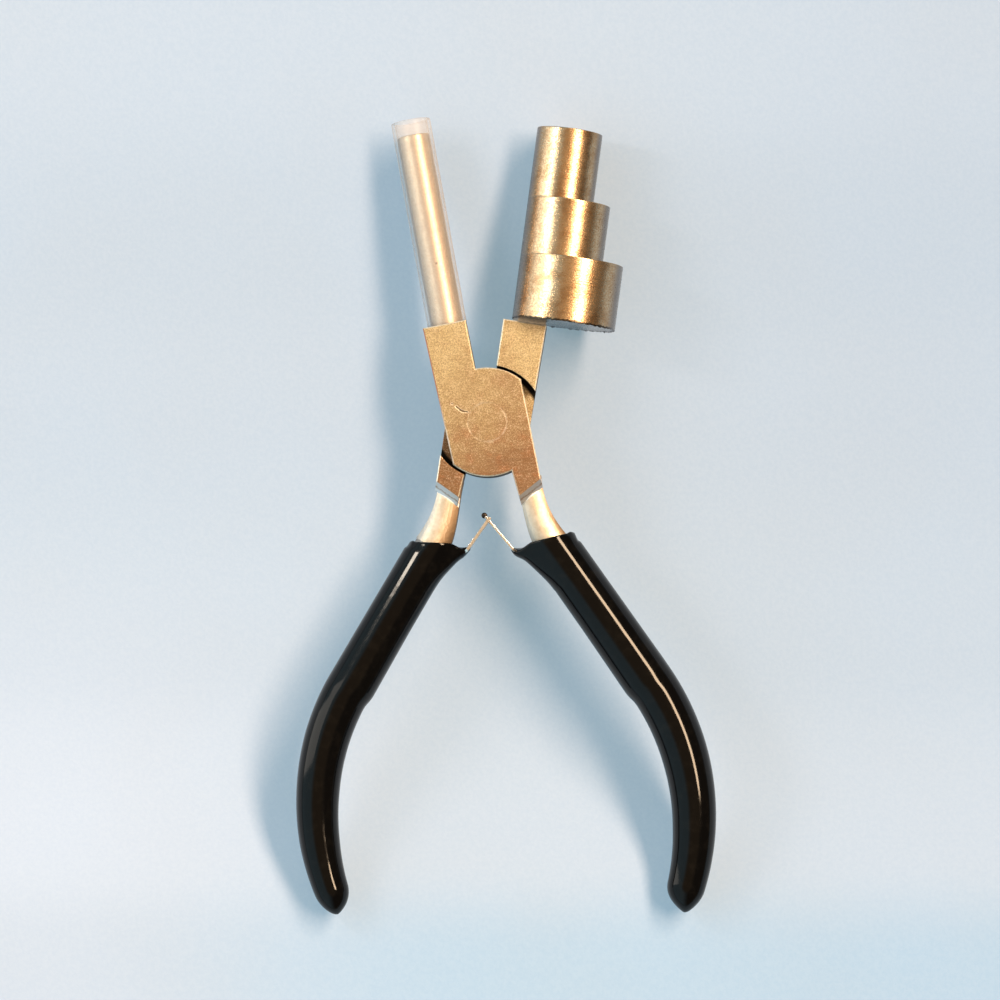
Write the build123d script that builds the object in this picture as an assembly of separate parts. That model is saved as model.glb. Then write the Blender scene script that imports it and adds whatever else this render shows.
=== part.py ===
from build123d import *
from math import atan2, cos, degrees, hypot, radians, sin, sqrt
import os

# Stepped-mandrel loop-forming pliers with a lap joint, a sleeved round jaw, a three-step
# barrel jaw, dipped vinyl grips and a double leaf spring.  Millimetres.
#
# Row frame: the tool lies on its back.  +Z is the pivot axis, from the rear ground face of
# the joint (z = 0) to its front ground face.  +Y runs from the pivot towards the jaws.
# Each half is drawn upright in its own frame, jaw up on the -X side and handle down on the
# +X side, and is then turned about the pivot to its open rest place.  The back half is the
# same drawing mirrored.

# Rest pose
FRONT_TURN = 11.25          # the front half leans this far to the left, degrees
BACK_TURN = 8.4             # the back half leans this far to the right, degrees
CLOSING_TRAVEL = 18.0       # the back half turns this far until the jaws are parallel

# Lap joint
JOINT_THICKNESS = 9.4
MID_PLANE = JOINT_THICKNESS / 2
LAP_GAP = 0.05              # between the two lapped plates
PLATE_HALF_WIDTH = 8.0
PLATE_RADIUS = 10.5
SHOULDER_RADIUS = 11.0
NECK_TOP = 20.1
NECK_OUTER = -8.6
NECK_INNER = -0.2
BLOCK_INNER_TOP = (2.8, -sqrt(PLATE_RADIUS ** 2 - 2.8 ** 2))
BLOCK_INNER_END = (3.35, -16.75)
BLOCK_OUTER_END = (PLATE_HALF_WIDTH, -14.35)
RAMP = 1.5                  # slope at the handle end of both ground faces
EDGE_BREAK = 0.22

# Pivot rivet, ground flush on both sides
RIVET_RADIUS = 3.0
RIVET_HEAD_RADIUS = 3.75
RIVET_HEAD_DEPTH = 1.2
RUNNING_CLEARANCE = 0.04

# Handles: down, outward round a small bend, straight, then back inward round a wide bend
SHANK_TOP = -12.0
SHANK_BEND_Y = -15.5
SHANK_BEND_RADIUS = 26.0
HANDLE_STRAIGHT = 31.5
HANDLE_BEND_RADIUS = 46.5
HANDLE_BEND = 56.3          # degrees, to the end of the grip
SHANK_THICKNESS = 6.8
SHANK_CROWN_RADIUS = 4.6    # of the rounded front and rear of the shank
SHANK_WAIST = 4.6
TANG_RADIUS = 3.3
TANG_SHORT_OF_GRIP = 20.0   # degrees of the wide bend left empty in the grip's tip
FRONT_SIDE = {"shank_x": 5.75, "lean": 24.0, "grip_radius": 4.45, "top_radius": 4.95, "mouth_tilt": 0.0}
BACK_SIDE = {"shank_x": 5.3, "lean": 22.0, "grip_radius": 4.2, "top_radius": 4.7, "mouth_tilt": 5.0}

# Grips
GRIP_MOUTH = -24.2
GRIP_TOP_LENGTH = 29.0      # of the straight, covered by the thicker upper part
GRIP_STEP_LENGTH = 2.0
LIP_HALF_WIDTH = 3.3
LIP_TIP = (-0.2, -25.5)
LIP_OUTLINE = [LIP_TIP, (4.2, -30.7), (8.0, -31.0), (8.0, -24.6), (3.5, -24.6), (1.9, -25.6), (0.9, -25.9)]

# Double leaf spring
LEAF_THICKNESS = 0.6
LEAF_HALF_WIDTH = 2.75
LEAF_HINGE_RISE = -25.0
FRONT_LEAF_HINGE = (0.15, LEAF_HINGE_RISE)
BACK_LEAF_HINGE = (0.35, LEAF_HINGE_RISE)
APEX = (0.15, -18.75)       # where the two leaves cross, in the row frame
LEAF_PAST_APEX = 0.6
TONGUE_PAST_APEX = 0.95
FORK_DEPTH = 2.0            # below the apex
TONGUE_HALF_WIDTH = 1.0
FORK_HALF_SLOT = 1.25
HINGE_GAP = 0.2
ROOT_CLEAR_OF_TANG = 0.02
ROOT_HALF_WIDTH = 2.2
ROOT_RISE_LENGTH = 5.6      # of the straight, where the strip leaves the tang
ROOT_END_LENGTH = 27.0      # of the straight, where the strip ends
SPRING_RIVET_LENGTH = 24.5
SPRING_RIVET_RADIUS = 0.9
SPRING_RIVET_DEPTH = 2.6

# Round jaw and its clear sleeve
JAW_FOOT = (-3.95, NECK_TOP)
JAW_LEAN = 1.0
ROD_RADIUS = 3.15
ROD_LENGTH = 37.3
ROD_CHAMFER = 0.35
SPIGOT_RADIUS = 2.0
SPIGOT_LENGTH = 6.0
SOCKET_CLEARANCE = 0.02     # round the rod's spigot and the barrel's tenon
SLEEVE_BORE_RADIUS = 3.2
SLEEVE_RADIUS = 3.85
SLEEVE_LENGTH = 40.2
SLEEVE_LIFT = 0.1

# Stepped mandrel: three cylinders flush along one tangent line
MANDREL_LEAN = 0.8
BRAZE_THICKNESS = 0.8
BRAZE_INSET = 0.25
MANDREL_TANGENT = (-1.72, NECK_TOP + BRAZE_THICKNESS)
MANDREL_STEPS = [(10.0, 12.45), (8.0, 11.15), (6.35, 13.6)]
MANDREL_CHAMFER = 0.35
TENON_RADIUS = 2.5
TENON_LENGTH = 6.0
TENON_X = -4.4


def on_xy(point):
    return Vector(point[0], point[1], MID_PLANE)


def slab(face, low, high):
    return Pos(0, 0, low) * extrude(face, high - low)


def disc(radius, low, high, centre=(0, 0)):
    cylinder = Cylinder(radius, high - low, align=(Align.CENTER, Align.CENTER, Align.MIN))
    return Pos(centre[0], centre[1], low) * cylinder


def upright_rod(radius, length, foot, lean=0.0, start=0.0):
    """A cylinder along +Y from its foot, leaning towards +X."""
    cylinder = Cylinder(radius, length, align=(Align.CENTER, Align.CENTER, Align.MIN))
    standing = Rot(-90, 0, 0) * Pos(0, 0, start) * cylinder
    return Pos(foot[0], foot[1], MID_PLANE) * Rot(0, 0, -lean) * standing


# ---------------------------------------------------------------- one half, upright

def joint_face():
    """The ground face of one half: neck, lapped plate and the block above the handle."""
    side = sqrt(PLATE_RADIUS ** 2 - PLATE_HALF_WIDTH ** 2)
    neck_root = sqrt(PLATE_RADIUS ** 2 - NECK_INNER ** 2)
    low_mid = (PLATE_RADIUS * sin(radians(-18)), -PLATE_RADIUS * cos(radians(-18)))
    high_mid = (PLATE_RADIUS * sin(radians(25)), PLATE_RADIUS * cos(radians(25)))
    outline = Polyline((NECK_INNER, neck_root), (NECK_INNER, NECK_TOP), (NECK_OUTER, NECK_TOP),
                       (-PLATE_HALF_WIDTH, -side))
    outline += ThreePointArc((-PLATE_HALF_WIDTH, -side), low_mid, BLOCK_INNER_TOP)
    outline += Polyline(BLOCK_INNER_TOP, BLOCK_INNER_END, BLOCK_OUTER_END, (PLATE_HALF_WIDTH, side))
    outline += ThreePointArc((PLATE_HALF_WIDTH, side), high_mid, (NECK_INNER, neck_root))
    return make_face(outline)


def ground_edges(solid):
    return [edge for edge in solid.edges() if abs(edge.center().Z - MID_PLANE) > MID_PLANE - 0.01]


def joint_block():
    block = slab(joint_face(), 0, JOINT_THICKNESS)
    end_y = (BLOCK_INNER_END[1] + BLOCK_OUTER_END[1]) / 2
    end_edges = [edge for edge in ground_edges(block) if abs(edge.center().Y - end_y) < 0.5]
    block = chamfer(end_edges, RAMP)
    rim = [edge for edge in ground_edges(block) if edge.center().Y > BLOCK_OUTER_END[1] + RAMP]
    return chamfer(rim, EDGE_BREAK)


def handle_curves(side):
    """The handle's centre line: shank, small bend, straight and wide bend."""
    shank = Line(on_xy((side["shank_x"], SHANK_TOP)), on_xy((side["shank_x"], SHANK_BEND_Y)))
    small_bend = JernArc(shank @ 1, shank % 1, SHANK_BEND_RADIUS, side["lean"])
    straight = Line(small_bend @ 1, (small_bend @ 1) + (small_bend % 1) * HANDLE_STRAIGHT)
    wide_bend = JernArc(straight @ 1, straight % 1, HANDLE_BEND_RADIUS, -HANDLE_BEND)
    return shank, small_bend, straight, wide_bend


def across(curve, position):
    """A plane square to the curve, with its X axis in the plane of the tool."""
    direction = curve % position
    return Plane(origin=curve @ position, x_dir=Vector(-direction.Y, direction.X, 0), z_dir=direction)


def shank_section(width):
    """Crowned front and rear and flat sides, drawn about the centre line."""
    half_width, half_thickness = width / 2, SHANK_THICKNESS / 2
    corner = half_thickness - (SHANK_CROWN_RADIUS - sqrt(SHANK_CROWN_RADIUS ** 2 - half_width ** 2))
    outline = ThreePointArc((-half_width, corner), (0, half_thickness), (half_width, corner))
    outline += Line((half_width, corner), (half_width, -corner))
    outline += ThreePointArc((half_width, -corner), (0, -half_thickness), (-half_width, -corner))
    outline += Line((-half_width, -corner), (-half_width, corner))
    return make_face(outline)


def shank_and_tang(side):
    shank, small_bend, straight, wide_bend = handle_curves(side)
    widths = [(shank, 0.0, 4.9), (shank, 1.0, SHANK_WAIST), (small_bend, 0.45, 5.4), (small_bend, 1.0, 6.8)]
    sections = [across(curve, at) * shank_section(width) for curve, at, width in widths]
    visible = loft(sections)
    tang_bend = JernArc(straight @ 1, straight % 1, HANDLE_BEND_RADIUS, -(HANDLE_BEND - TANG_SHORT_OF_GRIP))
    tang = sweep(across(straight, 0) * Circle(TANG_RADIUS), path=straight + tang_bend)
    return visible + tang


def half(side, lap_low, lap_high, bore_radius, head_radius, head_low, head_high, socket):
    """One forged half.  The lap is the level that the other half's plate fills."""
    body = joint_block() + shank_and_tang(side)
    body -= disc(SHOULDER_RADIUS, lap_low, lap_high)
    body -= disc(bore_radius, -1, JOINT_THICKNESS + 1)
    body -= disc(head_radius, head_low, head_high)
    return body - socket - spring_rivet(side)


# ---------------------------------------------------------------- grip and spring, upright

def grip(side, metal, root):
    small_bend, straight, wide_bend = handle_curves(side)[1:]
    top_end = straight @ (GRIP_TOP_LENGTH / HANDLE_STRAIGHT)
    step_end = straight @ ((GRIP_TOP_LENGTH + GRIP_STEP_LENGTH) / HANDLE_STRAIGHT)
    mouth_bend = JernArc(small_bend @ 0.6, small_bend % 0.6, SHANK_BEND_RADIUS, side["lean"] * 0.4)
    upper_path = mouth_bend + Line(straight @ 0, top_end)
    upper = sweep(across(mouth_bend, 0) * Circle(side["top_radius"]), path=upper_path)
    top_plane = across(straight, GRIP_TOP_LENGTH / HANDLE_STRAIGHT)
    step_plane = across(straight, (GRIP_TOP_LENGTH + GRIP_STEP_LENGTH) / HANDLE_STRAIGHT)
    step = loft([top_plane * Circle(side["top_radius"]), step_plane * Circle(side["grip_radius"])])
    dome_angle = degrees(side["grip_radius"] / HANDLE_BEND_RADIUS)
    lower_bend = JernArc(straight @ 1, straight % 1, HANDLE_BEND_RADIUS, -(HANDLE_BEND - dome_angle))
    lower_path = Line(step_end, straight @ 1) + lower_bend
    lower = sweep(step_plane * Circle(side["grip_radius"]), path=lower_path)
    end = lower_bend @ 1
    dome = Pos(end.X, end.Y, end.Z) * Sphere(side["grip_radius"])
    lip = slab(make_face(Polyline(*LIP_OUTLINE, close=True)), MID_PLANE - LIP_HALF_WIDTH, MID_PLANE + LIP_HALF_WIDTH)
    above_mouth = Pos(3, GRIP_MOUTH, MID_PLANE) * Rot(0, 0, -side["mouth_tilt"]) * Pos(0, 10, 0) * Box(40, 20, 30)
    outer = upper + step + lower + dome - above_mouth
    return outer + lip - metal - root - spring_rivet(side)


def strip_point(side, length, offset):
    """A point beside the tang, the given length down the straight, towards the other handle."""
    straight = handle_curves(side)[2]
    direction = straight % 0
    inward = Vector(direction.Y, -direction.X, 0)
    return (straight @ 0) + direction * length + inward * offset


def ribbon(points, half_width):
    """A flat strip of leaf steel that follows points in the plane of the tool."""
    outline = Polyline(*[(point[0], point[1]) for point in points])
    band = trace(outline, LEAF_THICKNESS)
    return slab(band, MID_PLANE - half_width, MID_PLANE + half_width)


def spring_root(side, hinge):
    """The leaf's fixed part, riveted to the tang under the grip and rising to the lip."""
    offset = TANG_RADIUS + ROOT_CLEAR_OF_TANG + LEAF_THICKNESS / 2
    low = strip_point(side, ROOT_END_LENGTH, offset)
    knee = strip_point(side, ROOT_RISE_LENGTH, offset)
    rise = hypot(hinge[0] - knee.X, hinge[1] - knee.Y)
    keep = 1 - (LEAF_THICKNESS / 2 + HINGE_GAP) / rise
    top = (knee.X + (hinge[0] - knee.X) * keep, knee.Y + (hinge[1] - knee.Y) * keep)
    return ribbon([(low.X, low.Y), (knee.X, knee.Y), top], ROOT_HALF_WIDTH)


def spring_rivet(side):
    outer = strip_point(side, SPRING_RIVET_LENGTH, TANG_RADIUS + ROOT_CLEAR_OF_TANG + LEAF_THICKNESS)
    direction = handle_curves(side)[2] % 0
    outward = Vector(-direction.Y, direction.X, 0)
    plane = Plane(origin=outer, z_dir=outward)
    return plane * Cylinder(SPRING_RIVET_RADIUS, SPRING_RIVET_DEPTH, align=(Align.CENTER, Align.CENTER, Align.MIN))


def upright(point, turn, mirrored):
    """A row-frame point, seen in the upright frame of a half."""
    angle = radians(turn if mirrored else -turn)
    x = point[0] * cos(angle) - point[1] * sin(angle)
    y = point[0] * sin(angle) + point[1] * cos(angle)
    return (-x, y) if mirrored else (x, y)


def leaf_blank(hinge, apex, past_apex):
    """A straight leaf from its rounded hinge end to just past the apex, and its direction."""
    length = hypot(apex[0] - hinge[0], apex[1] - hinge[1])
    along = ((apex[0] - hinge[0]) / length, (apex[1] - hinge[1]) / length)
    end = (apex[0] + along[0] * past_apex, apex[1] + along[1] * past_apex)
    low, high = MID_PLANE - LEAF_HALF_WIDTH, MID_PLANE + LEAF_HALF_WIDTH
    return ribbon([hinge, end], LEAF_HALF_WIDTH) + disc(LEAF_THICKNESS / 2, low, high, hinge), along


def near_apex(apex, along, half_width):
    """A block round the leaf's last stretch, from the fork's depth to beyond its end."""
    depth = FORK_DEPTH + TONGUE_PAST_APEX + 1
    middle = (TONGUE_PAST_APEX + 1 - FORK_DEPTH) / 2
    centre = Pos(apex[0] + along[0] * middle, apex[1] + along[1] * middle, MID_PLANE)
    turn = Rot(0, 0, degrees(atan2(along[1], along[0])))
    return centre * turn * Box(depth, 4 * LEAF_THICKNESS, 2 * half_width)


def tongue_leaf(hinge, apex):
    blank, along = leaf_blank(hinge, apex, TONGUE_PAST_APEX)
    whole_end = near_apex(apex, along, LEAF_HALF_WIDTH + 1)
    return blank - (whole_end - near_apex(apex, along, TONGUE_HALF_WIDTH))


def fork_leaf(hinge, apex):
    blank, along = leaf_blank(hinge, apex, LEAF_PAST_APEX)
    return blank - near_apex(apex, along, FORK_HALF_SLOT)


# ---------------------------------------------------------------- jaws and pivot

def mandrel_rod():
    rod = upright_rod(ROD_RADIUS, ROD_LENGTH, JAW_FOOT)
    rod = chamfer(rod.edges().sort_by(Axis.Y)[-1], ROD_CHAMFER)
    rod += upright_rod(SPIGOT_RADIUS, SPIGOT_LENGTH, JAW_FOOT, start=-SPIGOT_LENGTH)
    return lean_at(rod, JAW_FOOT, JAW_LEAN)


def rod_socket():
    socket = upright_rod(SPIGOT_RADIUS + SOCKET_CLEARANCE, SPIGOT_LENGTH, JAW_FOOT, start=-SPIGOT_LENGTH)
    foot = upright_rod(ROD_RADIUS + SOCKET_CLEARANCE, 1.0, JAW_FOOT)
    return lean_at(socket + foot, JAW_FOOT, JAW_LEAN)


def rod_sleeve():
    tube = upright_rod(SLEEVE_RADIUS, SLEEVE_LENGTH, JAW_FOOT, start=SLEEVE_LIFT)
    tube -= upright_rod(SLEEVE_BORE_RADIUS, SLEEVE_LENGTH + 2, JAW_FOOT)
    return lean_at(tube, JAW_FOOT, JAW_LEAN)


def lean_at(solid, foot, angle):
    """Turn a solid about a point in the plane of the tool, so that its top goes to +X."""
    return Pos(foot[0], foot[1], 0) * Rot(0, 0, -angle) * Pos(-foot[0], -foot[1], 0) * solid


def stepped_mandrel():
    barrel = None
    rise = 0.0
    for radius, length in MANDREL_STEPS:
        centre = (MANDREL_TANGENT[0] - radius, MANDREL_TANGENT[1])
        step = upright_rod(radius, length, centre, start=rise)
        step = chamfer(step.edges().sort_by(Axis.Y)[-1], MANDREL_CHAMFER)
        barrel = step if barrel is None else barrel + step
        rise += length
    return lean_at(barrel, MANDREL_TANGENT, MANDREL_LEAN) + tenon()


def tenon(clearance=0.0):
    foot = (TENON_X, MANDREL_TANGENT[1])
    return upright_rod(TENON_RADIUS + clearance, TENON_LENGTH, foot, start=0.5 - TENON_LENGTH)


def mandrel_braze(mandrel):
    """The braze metal between the neck's end and the underside of the barrel."""
    width = NECK_INNER - NECK_OUTER - 2 * EDGE_BREAK
    layer = Pos((NECK_INNER + NECK_OUTER) / 2, NECK_TOP, MID_PLANE) * Box(
        width, 1.2 * BRAZE_THICKNESS, JOINT_THICKNESS - 2 * EDGE_BREAK, align=(Align.CENTER, Align.MIN, Align.CENTER))
    radius = MANDREL_STEPS[0][0] - BRAZE_INSET
    under_barrel = upright_rod(radius, 4 * BRAZE_THICKNESS, (MANDREL_TANGENT[0] - MANDREL_STEPS[0][0], NECK_TOP))
    return (layer & under_barrel) - mandrel


def pivot_rivet():
    shaft = disc(RIVET_RADIUS, 0, JOINT_THICKNESS)
    rear_head = disc(RIVET_HEAD_RADIUS, 0, RIVET_HEAD_DEPTH)
    front_head = disc(RIVET_HEAD_RADIUS, JOINT_THICKNESS - RIVET_HEAD_DEPTH, JOINT_THICKNESS)
    return shaft + rear_head + front_head


# ---------------------------------------------------------------- placing and writing

def place_front(solid):
    return Rot(0, 0, FRONT_TURN) * solid


def place_back(solid):
    return Rot(0, 0, -BACK_TURN) * mirror(solid, about=Plane.YZ)


def front_nodes():
    rod = mandrel_rod()
    root = spring_root(FRONT_SIDE, FRONT_LEAF_HINGE) - spring_rivet(FRONT_SIDE)
    lap = (-1, MID_PLANE + LAP_GAP / 2)
    metal = half(FRONT_SIDE, *lap, RIVET_RADIUS, RIVET_HEAD_RADIUS,
                 JOINT_THICKNESS - RIVET_HEAD_DEPTH, JOINT_THICKNESS + 1, rod_socket())
    apex = upright(APEX, FRONT_TURN, False)
    return {
        "front_half": metal,
        "pivot_rivet": pivot_rivet(),
        "mandrel_rod": rod,
        "rod_sleeve": rod_sleeve() - metal,
        "right_grip": grip(FRONT_SIDE, metal, root),
        "right_spring_root": root,
        "right_spring_rivet": spring_rivet(FRONT_SIDE),
        "right_spring_leaf": tongue_leaf(FRONT_LEAF_HINGE, apex),
    }


def back_nodes():
    mandrel = stepped_mandrel()
    root = spring_root(BACK_SIDE, BACK_LEAF_HINGE) - spring_rivet(BACK_SIDE)
    lap = (MID_PLANE - LAP_GAP / 2, JOINT_THICKNESS + 1)
    metal = half(BACK_SIDE, *lap, RIVET_RADIUS + RUNNING_CLEARANCE, RIVET_HEAD_RADIUS + RUNNING_CLEARANCE,
                 -1, RIVET_HEAD_DEPTH + LAP_GAP, tenon(SOCKET_CLEARANCE))
    apex = upright(APEX, BACK_TURN, True)
    return {
        "back_half": metal,
        "stepped_mandrel": mandrel,
        "mandrel_braze": mandrel_braze(mandrel),
        "left_grip": grip(BACK_SIDE, metal, root),
        "left_spring_root": root,
        "left_spring_rivet": spring_rivet(BACK_SIDE),
        "left_spring_leaf": fork_leaf(BACK_LEAF_HINGE, apex),
    }


os.makedirs("parts", exist_ok=True)
for name, solid in front_nodes().items():
    export_step(place_front(solid), f"parts/{name}.step")
for name, solid in back_nodes().items():
    export_step(place_back(solid), f"parts/{name}.step")
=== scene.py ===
import math

import bmesh
import bpy
import numpy as np
from mathutils import Matrix, Vector, noise


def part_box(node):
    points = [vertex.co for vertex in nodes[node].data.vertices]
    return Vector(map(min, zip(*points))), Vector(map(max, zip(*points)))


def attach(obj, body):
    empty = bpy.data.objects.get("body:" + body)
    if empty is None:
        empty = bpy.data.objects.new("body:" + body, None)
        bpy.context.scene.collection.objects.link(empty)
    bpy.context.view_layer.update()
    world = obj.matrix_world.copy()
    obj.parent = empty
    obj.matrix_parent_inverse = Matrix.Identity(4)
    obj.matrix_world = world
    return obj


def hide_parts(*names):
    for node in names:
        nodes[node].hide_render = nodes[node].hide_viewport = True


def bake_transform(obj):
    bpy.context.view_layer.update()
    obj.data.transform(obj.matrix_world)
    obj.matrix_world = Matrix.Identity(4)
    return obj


MM = 0.001
SCENE = bpy.context.scene

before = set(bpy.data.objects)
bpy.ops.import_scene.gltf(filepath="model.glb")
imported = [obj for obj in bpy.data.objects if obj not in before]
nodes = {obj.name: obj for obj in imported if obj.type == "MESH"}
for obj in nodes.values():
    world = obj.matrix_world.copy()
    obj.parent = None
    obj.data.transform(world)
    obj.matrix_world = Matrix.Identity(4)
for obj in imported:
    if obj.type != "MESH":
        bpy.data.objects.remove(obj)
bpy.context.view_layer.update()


# ---------------------------------------------------------------- the two halves' own frames
# Each half is described upright, in millimetres, with its jaw up and its handle on the +X
# side; the front half leans left in the row frame, the back half is mirrored and leans right.

FRONT_TURN = math.radians(11.25)
BACK_TURN = math.radians(8.4)
plate_low, plate_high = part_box("pivot_rivet")
MID_Z = (plate_low.z + plate_high.z) / 2 / MM


def place_front(x, y, z=MID_Z):
    c, s = math.cos(FRONT_TURN), math.sin(FRONT_TURN)
    return Vector(((x * c - y * s) * MM, (x * s + y * c) * MM, z * MM))


def place_back(x, y, z=MID_Z):
    c, s = math.cos(BACK_TURN), math.sin(BACK_TURN)
    return Vector(((-x * c + y * s) * MM, (x * s + y * c) * MM, z * MM))


# Half widths of each grip, as (length along the handle, half width), towards the other
# handle and away from it; the inner side has the soft step.  "mouth" is the edge of the dip.
# "grip_end" is the length at the closed end, and "tip_drift" is how far its point leans outward.
FRONT = {"place": place_front, "turn": FRONT_TURN, "mirror": 1, "shank_x": 5.75, "lean": 24.0,
         "inner": [(14, 4.75), (30, 4.8), (46, 5.05), (47.8, 4.62), (62, 4.4), (76, 4.0), (88, 3.3)],
         "outer": [(14, 4.8), (44, 4.85), (62, 4.65), (76, 4.35), (88, 4.0)],
         "grip_end": 92.0, "tip_drift": 1.1,
         "mouth": [(-3, -24.6), (-0.5, -24.6), (0.1, -25.45), (1.0, -25.6), (1.8, -25.3), (3.5, -24.5),
                   (11.1, -24.15), (11.7, -23.9), (12.4, -24.15), (12.7, -24.9)]}
BACK = {"place": place_back, "turn": BACK_TURN, "mirror": -1, "shank_x": 5.3, "lean": 22.0,
        "inner": [(14, 4.65), (30, 4.7), (44.8, 4.95), (46.6, 4.5), (66, 4.5), (76, 4.3), (87, 3.7)],
        "outer": [(14, 4.45), (46, 4.5), (55, 4.3), (64, 3.95), (76, 3.5), (87, 2.85)],
        "grip_end": 90.3, "tip_drift": 0.6,
        "mouth": [(-3, -24.45), (-0.2, -24.45), (0.9, -25.1), (2.8, -24.4), (3.5, -24.25), (10.6, -25.0),
                  (10.9, -24.75), (12.0, -25.2)]}
SHANK_TOP = -12.0
SHANK_BEND_Y = -15.5
SHANK_BEND_RADIUS = 26.0
HANDLE_STRAIGHT = 31.5
HANDLE_BEND_RADIUS = 46.5
HANDLE_BEND = math.radians(56.3)


def handle_runs(side):
    """The parts of a handle's centre line, as (length, bend per millimetre)."""
    lean = math.radians(side["lean"])
    return [(SHANK_TOP - SHANK_BEND_Y, 0.0), (SHANK_BEND_RADIUS * lean, 1 / SHANK_BEND_RADIUS),
            (HANDLE_STRAIGHT, 0.0), (HANDLE_BEND_RADIUS * HANDLE_BEND, -1 / HANDLE_BEND_RADIUS)]


def handle_point(side, s):
    """Point and direction of a handle's centre line, s millimetres from the top of the shank."""
    x, y, angle = side["shank_x"], SHANK_TOP, 0.0
    runs = handle_runs(side)
    for i, (length, bend) in enumerate(runs):
        step = s if i == len(runs) - 1 else min(s, length)
        if bend:
            x += (math.cos(angle) - math.cos(angle + bend * step)) / bend
            y -= (math.sin(angle + bend * step) - math.sin(angle)) / bend
        else:
            x += math.sin(angle) * step
            y -= math.cos(angle) * step
        angle += bend * step
        s -= step
        if s <= 0:
            break
    return np.array((x, y)), np.array((math.sin(angle), -math.cos(angle)))


def handle_length(side, upto):
    """Length along the centre line to the end of part upto: 1 shank, 2 bend, 3 straight, 4 wide bend."""
    return sum(run[0] for run in handle_runs(side)[:upto])


# ---------------------------------------------------------------- mesh helpers

FILLET_STEPS = 4


def object_from(name, bm, material):
    bmesh.ops.recalc_face_normals(bm, faces=bm.faces)
    mesh = bpy.data.meshes.new(name)
    bm.to_mesh(mesh)
    bm.free()
    mesh.polygons.foreach_set("use_smooth", [True] * len(mesh.polygons))
    mesh.materials.append(material)
    obj = bpy.data.objects.new(name, mesh)
    SCENE.collection.objects.link(obj)
    return obj


def rings_to_mesh(rings):
    """A tube of quads through rings of the same number of points; each end is closed by a fan."""
    bm = bmesh.new()
    rows = [[bm.verts.new(p) for p in ring] for ring in rings]
    n = len(rows[0])
    for a, b in zip(rows, rows[1:]):
        for i in range(n):
            bm.faces.new((a[i], a[(i + 1) % n], b[(i + 1) % n], b[i]))
    for row in (rows[0], rows[-1]):
        middle = bm.verts.new(sum((v.co for v in row), Vector()) / n)
        for i in range(n):
            bm.faces.new((row[i], row[(i + 1) % n], middle))
    return bm


def rounded(profile):
    """A lathe profile of (radius, height, fillet) with each corner rounded by its fillet."""
    points = []
    for i, (r, h, fillet) in enumerate(profile):
        if not fillet:
            points.append((r, h))
            continue
        p = Vector((r, h))
        before = (Vector(profile[i - 1][:2]) - p).normalized() * fillet
        after = (Vector(profile[i + 1][:2]) - p).normalized() * fillet
        for k in range(FILLET_STEPS + 1):
            t = k / FILLET_STEPS
            points.append(tuple(p + before * (1 - t) ** 2 + after * t ** 2))
    return points


def lathe_rings(profile, segments, foot, axis):
    """Rings of a lathe profile about an axis in the plane of the tool; all in millimetres."""
    along = Vector((axis[0], axis[1], 0)).normalized()
    side = Vector((along.y, -along.x, 0))
    up = Vector((0, 0, 1))
    origin = Vector((foot[0], foot[1], MID_Z))
    turns = [2 * math.pi * k / segments for k in range(segments)]
    spokes = [side * math.cos(a) + up * math.sin(a) for a in turns]
    return [[origin + along * h + spoke * r for spoke in spokes] for r, h in profile]


def placed(rings, place):
    return [[place(*p) for p in ring] for ring in rings]


def lean_vector(degrees_):
    return (math.sin(math.radians(degrees_)), math.cos(math.radians(degrees_)))


# ---------------------------------------------------------------- material helpers

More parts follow.
